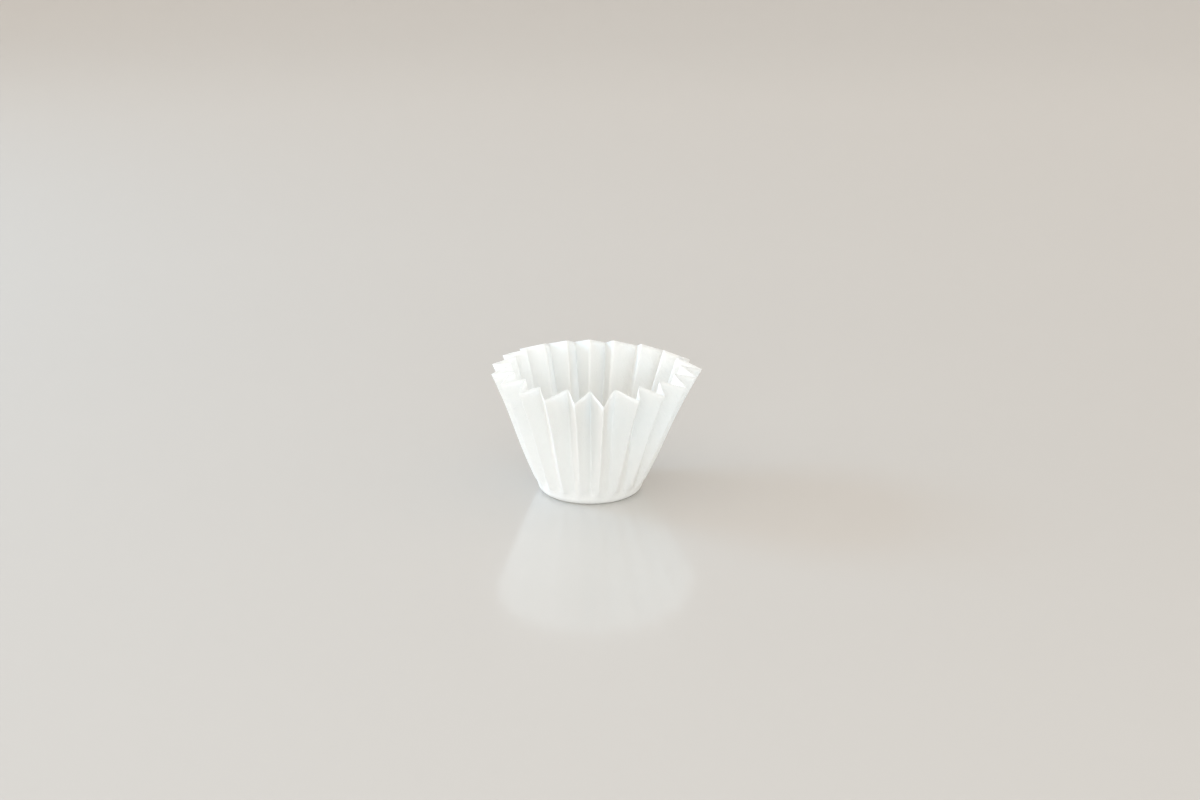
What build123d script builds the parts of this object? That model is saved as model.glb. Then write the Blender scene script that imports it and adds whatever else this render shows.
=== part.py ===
"""Fluted paper coffee filter: one disc of filter paper, pressed and pleated into a flat-bottomed cup.

The origin is the centre of the flat base, on the surface that the filter stands on, with +Z up.
Every fold runs from the base out to the rim of one round disc, so all the folds are equally long.
The outer folds lean out further than the inner ones, so their tips end a little lower.
"""

import os
from math import cos, radians, sin, sqrt

from build123d import *

os.makedirs("parts", exist_ok=True)

# Driving dimensions, in millimetres and degrees
paper_thickness = 0.2
pleat_count = 20
flat_radius = 18.8  # of the base, inside its rounded edge
foot_height = 2.1  # where the rounded edge ends and the straight folds begin
outer_fold_foot = 21.8  # radius of the outer folds there
inner_fold_foot = 20.5  # radius of the inner folds there
outer_fold_reach = 44  # mean radius of the outer folds at the rim
inner_fold_reach = 35  # mean radius of the inner folds at the rim
fold_length = 52.4  # along every fold, from the foot of the wall to the rim
edge_turn = 70  # degrees that the rounded edge goes round
rim_rounding = 0.7  # of the folds at the rim
foot_rounding = 2.2  # of the folds at the foot, where they are softer

# The pleats were pressed a little askew, and the cup was opened by hand, so its wall is uneven
first_fold = 8  # angle of the first outer fold at the foot
foot_skew = 3  # degrees that each inner fold lies past the middle of its two outer folds, at the foot
wall_twist = 1.5  # degrees that the rim is turned against the foot
mouth_shift = 3.1  # how far the mouth stands off centre
mouth_direction = 41
mouth_stretch = 1.2  # how much further the mouth reaches along its longer axis
stretch_direction = 71
crowding = 2.5  # degrees that the folds are turned towards the front and the back

# Sizes that follow from them
rim_level = foot_height + fold_length + 2  # a level just above the whole rim
half_pleats = range(2 * pleat_count)  # one for each fold, outer and inner by turns


def on_circle(radius, angle):
    """The point at this angle on a circle round the cup's axis."""
    return Vector(radius * cos(radians(angle)), radius * sin(radians(angle)))


def even_angle(half_pleat):
    """The angle of a fold if they were all evenly spaced."""
    return first_fold + half_pleat * 180 / pleat_count


def foot_corner(half_pleat, outer_radius, inner_radius):
    """A fold near the foot of the wall."""
    if half_pleat % 2:
        return on_circle(inner_radius, even_angle(half_pleat) + foot_skew)
    return on_circle(outer_radius, even_angle(half_pleat))


def rim_corner(half_pleat):
    """Where a straight fold, drawn on past its tip, meets the level above the rim."""
    foot = foot_corner(half_pleat, outer_fold_foot, inner_fold_foot)
    angle = even_angle(half_pleat) + wall_twist
    angle += crowding * sin(radians(2 * angle))
    reach = inner_fold_reach if half_pleat % 2 else outer_fold_reach
    reach += mouth_shift * cos(radians(angle - mouth_direction))
    reach += mouth_stretch * cos(radians(2 * (angle - stretch_direction)))
    rise = sqrt(fold_length**2 - (reach - outer_fold_foot) ** 2)
    return foot + (on_circle(reach, angle) - foot) * ((rim_level - foot_height) / rise)


def pleated_section(level, corners, rounding, inset=0):
    """A closed zigzag with rounded folds on one level, set in by a distance."""
    with BuildSketch(Plane.XY.offset(level)) as section:
        with BuildLine():
            Polyline(*[(corner.X, corner.Y) for corner in corners], close=True)
        make_face()
        fillet(section.vertices(), radius=rounding)
        if inset:
            offset(amount=-inset, mode=Mode.REPLACE)
    return section.sketch


def edge_section(share, inset):
    """The section a share of the way round the turn from the flat base up into the wall."""
    turn = radians(share * edge_turn)
    run = sin(turn) / sin(radians(edge_turn))
    rise = (1 - cos(turn)) / (1 - cos(radians(edge_turn)))
    outer_radius = flat_radius + run * (outer_fold_foot - flat_radius)
    inner_radius = flat_radius + run * (inner_fold_foot - flat_radius)
    level = inset + rise * (foot_height - inset)
    corners = [foot_corner(half_pleat, outer_radius, inner_radius) for half_pleat in half_pleats]
    return pleated_section(level, corners, foot_rounding, run * inset)


def cup_form(inset):
    """The solid inside the outer face of the paper, or inside its inner face when it is set in."""
    edge = [edge_section(share, inset) for share in (0, 0.25, 0.5, 0.75, 1)]
    rim_corners = [rim_corner(half_pleat) for half_pleat in half_pleats]
    rim = pleated_section(rim_level, rim_corners, rim_rounding, inset)
    with BuildPart() as form:
        loft(sections=edge)
        loft(sections=[edge[-1], rim], ruled=True)
    return form.part


with BuildPart() as filter_paper:
    add(cup_form(inset=0))
    add(cup_form(inset=paper_thickness), mode=Mode.SUBTRACT)
    # The rim: the wall ends at the same distance from its foot all the way round
    with BuildSketch(Plane.XZ):
        with BuildLine():
            Line((0, 0), (outer_fold_foot + fold_length, 0))
            Line((outer_fold_foot + fold_length, 0), (outer_fold_foot + fold_length, foot_height))
            CenterArc((outer_fold_foot, foot_height), fold_length, 0, 90)
            Line((outer_fold_foot, foot_height + fold_length), (0, foot_height + fold_length))
            Line((0, foot_height + fold_length), (0, 0))
        make_face()
    revolve(axis=Axis.Z, mode=Mode.INTERSECT)

filter_paper.part.label = "filter_paper"
export_step(filter_paper.part, "parts/filter_paper.step")
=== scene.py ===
"""The looks of the paper coffee filter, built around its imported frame.

The paper is one closed sheet, made as a grid of rings from the middle of the base out to the rim and
of columns that follow the pleats round. Its folds lie where the frame's solid has them, give or take
the small strays that are listed below.
"""

import bpy
import numpy as np
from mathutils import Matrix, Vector


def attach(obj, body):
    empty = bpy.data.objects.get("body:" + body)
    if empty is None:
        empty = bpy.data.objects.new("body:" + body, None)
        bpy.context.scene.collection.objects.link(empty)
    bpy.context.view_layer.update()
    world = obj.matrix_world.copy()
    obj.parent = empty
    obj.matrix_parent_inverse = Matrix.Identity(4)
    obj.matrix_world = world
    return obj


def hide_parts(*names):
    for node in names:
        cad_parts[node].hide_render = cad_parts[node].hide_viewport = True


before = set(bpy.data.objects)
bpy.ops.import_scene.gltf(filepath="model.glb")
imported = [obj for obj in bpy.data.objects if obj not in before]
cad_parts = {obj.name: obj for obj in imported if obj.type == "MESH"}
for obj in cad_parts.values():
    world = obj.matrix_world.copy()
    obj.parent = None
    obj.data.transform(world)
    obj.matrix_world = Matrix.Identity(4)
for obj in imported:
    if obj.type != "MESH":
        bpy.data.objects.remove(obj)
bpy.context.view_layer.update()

MM = 0.001

# The camera, in metres and degrees, with its lens and sensor in millimetres
CAMERA_DISTANCE = 0.771  # in front of the cup's axis
CAMERA_HEIGHT = 0.2983
CAMERA_SIDE = 0.004
CAMERA_PITCH = 18.67  # below level
CAMERA_LENS = 60
CAMERA_SENSOR = 36

# The paper, as in the frame's solid, in millimetres and degrees
PAPER_THICKNESS = 0.2
PLEAT_COUNT = 20
FLAT_RADIUS = 18.8  # of the base, inside its rounded edge
FOOT_HEIGHT = 2.1  # where the rounded edge ends and the wall begins
OUTER_FOLD_FOOT = 21.8  # radius of the outer folds there
INNER_FOLD_FOOT = 20.5
OUTER_FOLD_REACH = 44  # mean radius of the outer folds at the rim
INNER_FOLD_REACH = 35
FOLD_LENGTH = 52.4  # along every fold, from the foot of the wall to the rim
EDGE_TURN = 70  # that the rounded edge goes round
FIRST_FOLD = 8  # angle of the first outer fold at the foot
FOOT_SKEW = 3  # that each inner fold lies past the middle of its two outer folds, at the foot
WALL_TWIST = 1.5  # that the rim is turned against the foot
MOUTH_SHIFT = 3.1  # how far the mouth stands off centre
MOUTH_DIRECTION = 41
MOUTH_STRETCH = 1.2  # how much further the mouth reaches along its longer axis
STRETCH_DIRECTION = 71
CROWDING = 2.5  # that the folds are turned towards the front and the back

# What only the looks have: a wall that is a little fuller low down and slimmer near the rim, and
# tips that stand out of line, by the number of the fold: (degrees turned, millimetres further out)
WALL_SWELL = 0.4  # millimetres
STRAY_TIPS = {
    0: (0, 1),
    2: (0, 1),
    3: (-1, 0),
    4: (1.5, 0),
    7: (1.5, 0),
    11: (-1.5, 0),
    12: (-1.5, 0),
    13: (-1, 0),
    14: (1, 0),
    25: (-1.5, 1.5),
    27: (1.5, 0),
    30: (-1.5, 1.5),
    32: (1.5, 0),
    38: (0, -1),
}

# How the pressed paper strays from straight folds and flat faces, also only in the looks
STRAY_SEED = 11
FOLD_BEND = 0.22  # how far a fold usually is off its line halfway up, in millimetres
PANEL_WAVES = 4  # shapes added up in each panel, each with one bulge more than the last
PANEL_BULGE = 0.16  # how far the first shape usually is off the panel, in millimetres
BASE_DOME = 0.35  # millimetres that the middle of the base stands off the table

# The foot of the wall, which is round in the looks, with pleats that rise out of it
ROUND_FOOT = OUTER_FOLD_FOOT - 0.4  # its radius in millimetres
ROUND_SPREAD = 16  # millimetres that it would widen by from there to the rim
FLUTES_BEGIN = 0.01  # share of the wall where the pleats begin to stand out of it
FLUTES_FULL = 0.09
CREASE_HEIGHTS = (3.1, 4.3)  # faint level creases just above it, in millimetres
CREASE_DEPTH = 0.12
CREASE_WIDTH = 0.35

# How far on each side of a fold its curve goes, as a share of the panel there, at most a half
BASE_ROUNDING = 0.3  # for the directions of the columns from the middle of the base
FOOT_ROUNDING = 0.38
RIM_ROUNDING = 0.1

# The grid of the mesh
COLUMNS_PER_PANEL = 18
BASE_RINGS = 10
EDGE_RINGS = 10
WALL_RINGS = 46
RING_CROWDING = 1.6  # 1 spaces the wall's rings evenly, and more draws them down to its foot

# The paper's look: heights in millimetres, and patterns in cells for each millimetre of paper
CREPE_HEIGHT = 0.22  # of the soft wrinkles
CREPE_SCALE = 1
CREPE_STRETCH = (1.6, 0.4, 1)  # the wrinkles run along the second axis of the flat sheet
CREPE_DETAIL = 2
FIBRE_HEIGHT = 0.05
FIBRE_SCALE = 3
FIBRE_DETAIL = 3
CLOUD_SCALE = 0.3
CLOUD_DETAIL = 4
CLOUD_RANGE = (0.3, 0.7)  # the middle part of the pattern's values, where most of them lie
PAPER_DENSE = (0.99, 0.995, 0.99)
PAPER_THIN = (0.94, 0.955, 0.945)
THROUGH_DENSE = (0.93, 0.945, 0.935)  # the colour of the light that goes through
THROUGH_THIN = (0.985, 0.995, 0.985)
LIGHT_THROUGH = 0.4  # share of the light that goes through a face rather than back
PAPER_ROUGHNESS = 0.9
PAPER_SPECULAR = 0.1

# The table's look: a colour with a soft gloss, under a coat with a clearer one
TABLE_COLOR = (0.53, 0.527, 0.511)
TABLE_ROUGHNESS = 0.3
COAT_WEIGHT = 1.0
COAT_ROUGHNESS = 0.12
COAT_IOR = 2.0

# The stage, in metres: a level floor, a quarter turn and an upright backdrop
FLOOR_FRONT = -2.5
FLOOR_BACK = 1.6
TURN_RADIUS = 0.8
TURN_STEPS = 15
BACKDROP_TOP = 2.5
STAGE_SIDE = 4.0

# The light: a bright and slightly warm room, and soft lights that all face one place on the axis.
# Each of them has a name, (degrees round from the left side towards the back, degrees up), its
# distance and (width, height) in metres, its watts and its colour.
ROOM_COLOR = (1.0, 0.92, 0.845)
ROOM_STRENGTH = 1.2
LIT_HEIGHT = 0.03  # of that place, in metres
LIGHTS = (
    ("low left", (-5, 8), 1.25, (1.2, 0.25), 5.7, (0.97, 0.95, 0.98)),
    ("left", (18, 25), 1.25, (0.45, 0.3), 6.6, (0.36, 0.69, 1.0)),
    ("front", (-90, 15), 1.9, (1.6, 0.5), 12.2, (0.73, 0.86, 0.96)),
)


def add_camera():
    """A long lens in front of the cup, looking slightly down on it."""
    data = bpy.data.cameras.new("camera")
    data.lens = CAMERA_LENS
    data.sensor_width = CAMERA_SENSOR
    camera = bpy.data.objects.new("camera", data)
    camera.location = (CAMERA_SIDE, -CAMERA_DISTANCE, CAMERA_HEIGHT)
    camera.rotation_euler = (np.radians(90 - CAMERA_PITCH), 0, 0)
    bpy.context.scene.collection.objects.link(camera)
    bpy.context.scene.camera = camera


def smooth_step(value):
    """0 below 0, 1 above 1, and a smooth rise between."""
    value = np.clip(value, 0, 1)
    return value * value * (3 - 2 * value)


def outward(points):
    """The level direction from the cup's axis straight out to each point."""
    return points * [1, 1, 0] / np.linalg.norm(points[:, :2], axis=1)[:, None]


def fold_points():
    """Where each fold begins and ends, outer and inner folds by turns: (foot, tip), in millimetres."""
    folds = np.arange(2 * PLEAT_COUNT)
    inner = folds % 2
    even = FIRST_FOLD + folds * 180 / PLEAT_COUNT
    foot_angle = np.radians(even + inner * FOOT_SKEW)
    foot_radius = np.where(inner, INNER_FOLD_FOOT, OUTER_FOLD_FOOT)
    foot_height = np.full(len(folds), FOOT_HEIGHT)
    foot = np.stack([foot_radius * np.cos(foot_angle), foot_radius * np.sin(foot_angle), foot_height], 1)
    tip_angle = even + WALL_TWIST
    tip_angle = np.radians(tip_angle + CROWDING * np.sin(np.radians(2 * tip_angle)))
    reach = np.where(inner, INNER_FOLD_REACH, OUTER_FOLD_REACH)
    reach = reach + MOUTH_SHIFT * np.cos(tip_angle - np.radians(MOUTH_DIRECTION))
    reach = reach + MOUTH_STRETCH * np.cos(2 * (tip_angle - np.radians(STRETCH_DIRECTION)))
    for fold, (turned, further) in STRAY_TIPS.items():
        tip_angle[fold] += np.radians(turned)
        reach[fold] += further
    height = FOOT_HEIGHT + np.sqrt(FOLD_LENGTH**2 - (reach - OUTER_FOLD_FOOT) ** 2)
    tip = np.stack([reach * np.cos(tip_angle), reach * np.sin(tip_angle), height], 1)
    return foot, tip


def column_shares():
    """How far along its panel each column lies, closer together at the folds."""
    return (1 - np.cos(np.pi * np.arange(COLUMNS_PER_PANEL) / COLUMNS_PER_PANEL)) / 2


def fold_curve(before, fold, after, place, rounding):
    """A point on the parabola that rounds off a fold between its two neighbours.

    place is how far past the fold it lies, as a share of a panel, and is negative before the fold.
    """
    start = fold + (before - fold) * rounding
    end = fold + (after - fold) * rounding
    along = (place + rounding) / (2 * rounding)
    return (1 - along) ** 2 * start + 2 * along * (1 - along) * fold + along**2 * end


def round_the_folds(corners, rounding):
    """Columns of points along a zigzag of corners, with its folds rounded off."""
    panels = len(corners)
    before, after = np.roll(corners, 1, 0), np.roll(corners, -1, 0)
    columns = []
    for panel in range(panels):
        following = (panel + 1) % panels
        for share in column_shares():
            if share < rounding:
                point = fold_curve(before[panel], corners[panel], after[panel], share, rounding)
            elif share > 1 - rounding:
                place = share - 1
                point = fold_curve(corners[panel], corners[following], after[following], place, rounding)
            else:
                point = corners[panel] + (after[panel] - corners[panel]) * share
            columns.append(point)
    return np.array(columns)


def panel_bulges(corners, depths):
    """How far each column stands off its flat panel, as vectors, from each panel's wave depths."""
    along = np.roll(corners, -1, 0) - corners
    across = np.stack([along[:, 1], -along[:, 0], 0 * along[:, 0]], 1)
    across /= np.linalg.norm(across, axis=1)[:, None]
    waves = np.sin(np.pi * np.outer(np.arange(1, PANEL_WAVES + 1), column_shares()))
    return (across[:, None] * (depths @ waves)[..., None]).reshape(-1, 3)


def edge_profile(share):
    """The turn from the flat base up into the wall, this share of the way round: (run, rise), 0 to 1."""
    turn = np.radians(EDGE_TURN * share)
    full = np.radians(EDGE_TURN)
    return np.sin(turn) / np.sin(full), (1 - np.cos(turn)) / (1 - np.cos(full))


def edge_arc():
    """The length of paper in the rounded edge."""
    run, rise = edge_profile(np.linspace(0, 1, EDGE_RINGS))
    width = OUTER_FOLD_FOOT - FLAT_RADIUS
    return np.hypot(np.diff(run) * width, np.diff(rise) * FOOT_HEIGHT).sum()


def bent_corners(foot, tip, bends, share):
    """Where the folds are, this share of the way up the wall, each a little off its straight line."""
    corners = foot + (tip - foot) * share
    out = outward(corners)
    sideways = np.stack([-out[:, 1], out[:, 0], out[:, 2]], 1)
    bend = bends * np.sin(np.pi * share)
    corners = corners + out * WALL_SWELL * np.sin(2 * np.pi * share)
    return corners + out * bend[:, :1] + sideways * bend[:, 1:]


def wall_ring(corners, depths, round_foot, share):
    """The ring of the wall through these folds, this share of the way up, out of the round foot."""
    rounding = RIM_ROUNDING + (FOOT_ROUNDING - RIM_ROUNDING) * (1 - share) ** 3
    pleated = round_the_folds(corners, rounding) + panel_bulges(corners, depths)
    plain = round_foot * (ROUND_FOOT + ROUND_SPREAD * share)
    plain[:, 2] = pleated[:, 2]
    fade = smooth_step((share - FLUTES_BEGIN) / (FLUTES_FULL - FLUTES_BEGIN))
    ring = plain + (pleated - plain) * fade
    for height in CREASE_HEIGHTS:
        dent = np.exp(-(((ring[:, 2:] - height) / CREASE_WIDTH) ** 2))
        ring = ring - round_foot * CREASE_DEPTH * dent
    return ring


def paper_grid():
    """The outer face of the paper as a grid of points [ring, column, xyz], in millimetres.

    Beside it comes how far each ring lies from the middle of the flat sheet.
    """
    foot, tip = fold_points()
    rng = np.random.default_rng(STRAY_SEED)
    bends = rng.normal(0, FOLD_BEND, (len(foot), 2))
    depths = rng.normal(0, PANEL_BULGE, (2, len(foot), PANEL_WAVES)) / np.arange(1, PANEL_WAVES + 1)
    round_foot = outward(round_the_folds(foot, BASE_ROUNDING))
    up = np.array([0, 0, 1])
    rings = []
    lengths = []
    for share in np.linspace(0, 1, BASE_RINGS, endpoint=False)[1:]:
        rings.append(round_foot * FLAT_RADIUS * share + up * BASE_DOME * (1 - share**2) ** 2)
        lengths.append(FLAT_RADIUS * share)
    for share in np.linspace(0, 1, EDGE_RINGS):
        run, rise = edge_profile(share)
        radius = FLAT_RADIUS + run * (ROUND_FOOT - FLAT_RADIUS)
        rings.append(round_foot * radius + up * FOOT_HEIGHT * rise)
        lengths.append(FLAT_RADIUS + edge_arc() * share)
    for share in np.linspace(0, 1, WALL_RINGS + 1)[1:] ** RING_CROWDING:
        corners = bent_corners(foot, tip, bends, share)
        depths_here = depths[0] + (depths[1] - depths[0]) * share
        rings.append(wall_ring(corners, depths_here, round_foot, share))
        lengths.append(FLAT_RADIUS + edge_arc() + FOLD_LENGTH * share)
    return np.array(rings), np.array(lengths)


def flat_places(lengths):
    """Where the grid's points lie on the flat sheet, [ring, column, xy] in millimetres from its middle."""
    panels = 2 * PLEAT_COUNT
    turn = 2 * np.pi / panels * (np.arange(panels)[:, None] + column_shares()).ravel()
    return lengths[:, None, None] * np.stack([np.cos(turn), np.sin(turn)], 1)


def make_mesh(name, grid, flat, closing):
    """A mesh from a grid of rings, joined round, with its first ring closed to a middle point.

    Its map is the flat sheet, in millimetres, so a texture runs as it would on the uncut paper.
    """
    rings, columns, _ = grid.shape
    points = np.concatenate([grid.reshape(-1, 3), [closing]]) * MM
    here = np.arange(columns)
    there = np.roll(here, -1)
    faces = []
    for ring in range(rings - 1):
        low, high = ring * columns, (ring + 1) * columns
        faces += np.stack([low + here, high + here, high + there, low + there], 1).tolist()
    middle = len(points) - 1
    faces += np.stack([np.full(columns, middle), here, there], 1).tolist()
    mesh = bpy.data.meshes.new(name)
    mesh.from_pydata(points.tolist(), [], faces)
    mesh.shade_smooth()
    places = np.concatenate([flat.reshape(-1, 2), [(0, 0)]])
    corner_points = np.empty(len(mesh.loops), int)
    mesh.loops.foreach_get("vertex_index", corner_points)
    mesh.uv_layers.new(name="flat_sheet").uv.foreach_set("vector", places[corner_points].ravel())
    piece = bpy.data.objects.new(name, mesh)
    bpy.context.scene.collection.objects.link(piece)
    return piece


def noise(nodes, links, place, scale, detail, stretch=(1, 1, 1)):
    """A noise pattern on the flat sheet, finer by its stretch along each axis: its value, 0 to 1."""
    spread = nodes.new("ShaderNodeMapping")
    spread.inputs["Scale"].default_value = stretch
    links.new(place, spread.inputs["Vector"])
    pattern = nodes.new("ShaderNodeTexNoise")
    pattern.inputs["Scale"].default_value = scale
    pattern.inputs["Detail"].default_value = detail
    links.new(spread.outputs[0], pattern.inputs["Vector"])
    return pattern.outputs["Fac"]


def between(nodes, links, value, low, high):
    """A colour that runs from low to high as the value goes over the clouds' range."""
    ramp = nodes.new("ShaderNodeValToRGB")
    for element, position, color in zip(ramp.color_ramp.elements, CLOUD_RANGE, (low, high)):
        element.position = position
        element.color = (*color, 1)
    links.new(value, ramp.inputs["Fac"])
    return ramp.outputs["Color"]


def relief(nodes, links, pattern, height, under=None):
    """A bump of this height in millimetres, on top of the one under it, if any: its normal."""
    bump = nodes.new("ShaderNodeBump")
    bump.inputs["Distance"].default_value = height * MM
    links.new(pattern, bump.inputs["Height"])
    if under is not None:
        links.new(under, bump.inputs["Normal"])
    return bump.outputs["Normal"]


def paper_material():
    """Thin white crepe paper that lets light through, cloudy and fibrous as filter paper is."""
    material = bpy.data.materials.new("filter_paper")
    material.use_nodes = True
    nodes, links = material.node_tree.nodes, material.node_tree.links
    nodes.clear()
    sheet = nodes.new("ShaderNodeUVMap")
    sheet.uv_map = "flat_sheet"
    place = sheet.outputs["UV"]
    clouds = noise(nodes, links, place, CLOUD_SCALE, CLOUD_DETAIL)
    crepe = noise(nodes, links, place, CREPE_SCALE, CREPE_DETAIL, CREPE_STRETCH)
    fibres = noise(nodes, links, place, FIBRE_SCALE, FIBRE_DETAIL)
    wrinkled = relief(nodes, links, crepe, CREPE_HEIGHT)
    fibrous = relief(nodes, links, fibres, FIBRE_HEIGHT, under=wrinkled)

    surface = nodes.new("ShaderNodeBsdfPrincipled")
    surface.inputs["Roughness"].default_value = PAPER_ROUGHNESS
    surface.inputs["Specular IOR Level"].default_value = PAPER_SPECULAR
    links.new(between(nodes, links, clouds, PAPER_DENSE, PAPER_THIN), surface.inputs["Base Color"])
    links.new(fibrous, surface.inputs["Normal"])
    through = nodes.new("ShaderNodeBsdfTranslucent")
    links.new(between(nodes, links, clouds, THROUGH_DENSE, THROUGH_THIN), through.inputs["Color"])
    links.new(fibrous, through.inputs["Normal"])
    mix = nodes.new("ShaderNodeMixShader")
    mix.inputs["Fac"].default_value = LIGHT_THROUGH
    links.new(surface.outputs[0], mix.inputs[1])
    links.new(through.outputs[0], mix.inputs[2])
    output = nodes.new("ShaderNodeOutputMaterial")
    links.new(mix.outputs[0], output.inputs["Surface"])
    return material


def add_paper():
    """The filter itself."""
    grid, lengths = paper_grid()
    piece = make_mesh("paper", grid, flat_places(lengths), (0, 0, BASE_DOME))
    thicken = piece.modifiers.new("thickness", "SOLIDIFY")
    thicken.thickness = PAPER_THICKNESS * MM
    thicken.offset = 1  # all of it on the inner side, because the grid is the outer face
    piece.data.materials.append(paper_material())
    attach(piece, "root")
    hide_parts("filter_paper")


def floor_material():
    """A pale, glossy table."""
    material = bpy.data.materials.new("table")
    material.use_nodes = True
    surface = material.node_tree.nodes["Principled BSDF"]
    surface.inputs["Base Color"].default_value = (*TABLE_COLOR, 1)
    surface.inputs["Roughness"].default_value = TABLE_ROUGHNESS
    surface.inputs["Coat Weight"].default_value = COAT_WEIGHT
    surface.inputs["Coat Roughness"].default_value = COAT_ROUGHNESS
    surface.inputs["Coat IOR"].default_value = COAT_IOR
    return material


def add_stage():
    """A pale floor that sweeps up into a backdrop far behind."""
    profile = [(FLOOR_FRONT, 0.0), (FLOOR_BACK, 0.0)]
    for turn in np.radians(90 / TURN_STEPS * np.arange(1, TURN_STEPS + 1)):
        profile.append((FLOOR_BACK + TURN_RADIUS * np.sin(turn), TURN_RADIUS * (1 - np.cos(turn))))
    profile.append((FLOOR_BACK + TURN_RADIUS, BACKDROP_TOP))
    points = [(side * STAGE_SIDE, y, z) for side in (-1, 1) for y, z in profile]
    count = len(profile)
    faces = [(step, step + count, step + count + 1, step + 1) for step in range(count - 1)]
    mesh = bpy.data.meshes.new("sweep")
    mesh.from_pydata(points, [], faces)
    mesh.shade_smooth()
    sweep = bpy.data.objects.new("sweep", mesh)
    sweep.data.materials.append(floor_material())
    bpy.context.scene.collection.objects.link(sweep)


def add_area_light(name, direction, distance, size, power, color):
    """A soft light that faces the lit place on the axis, and that no camera or reflection shows."""
    data = bpy.data.lights.new(name, "AREA")
    data.shape = "RECTANGLE"
    data.size, data.size_y = size
    data.energy = power
    data.color = color
    turn, lift = np.radians(direction)
    toward = Vector((-np.cos(lift) * np.cos(turn), np.cos(lift) * np.sin(turn), np.sin(lift)))
    light = bpy.data.objects.new(name, data)
    light.location = toward * distance + Vector((0, 0, LIT_HEIGHT))
    light.rotation_euler = toward.to_track_quat("Z", "Y").to_euler()
    light.visible_camera = False
    light.visible_glossy = False
    bpy.context.scene.collection.objects.link(light)


def add_light():
    """The room's own light, and each of the soft lights."""
    world = bpy.data.worlds.new("room")
    world.use_nodes = True
    background = world.node_tree.nodes["Background"]
    background.inputs["Color"].default_value = (*ROOM_COLOR, 1)
    background.inputs["Strength"].default_value = ROOM_STRENGTH
    bpy.context.scene.world = world
    for light in LIGHTS:
        add_area_light(*light)


add_camera()
add_paper()
add_stage()
add_light()
bpy.context.scene.view_settings.view_transform = "Standard"
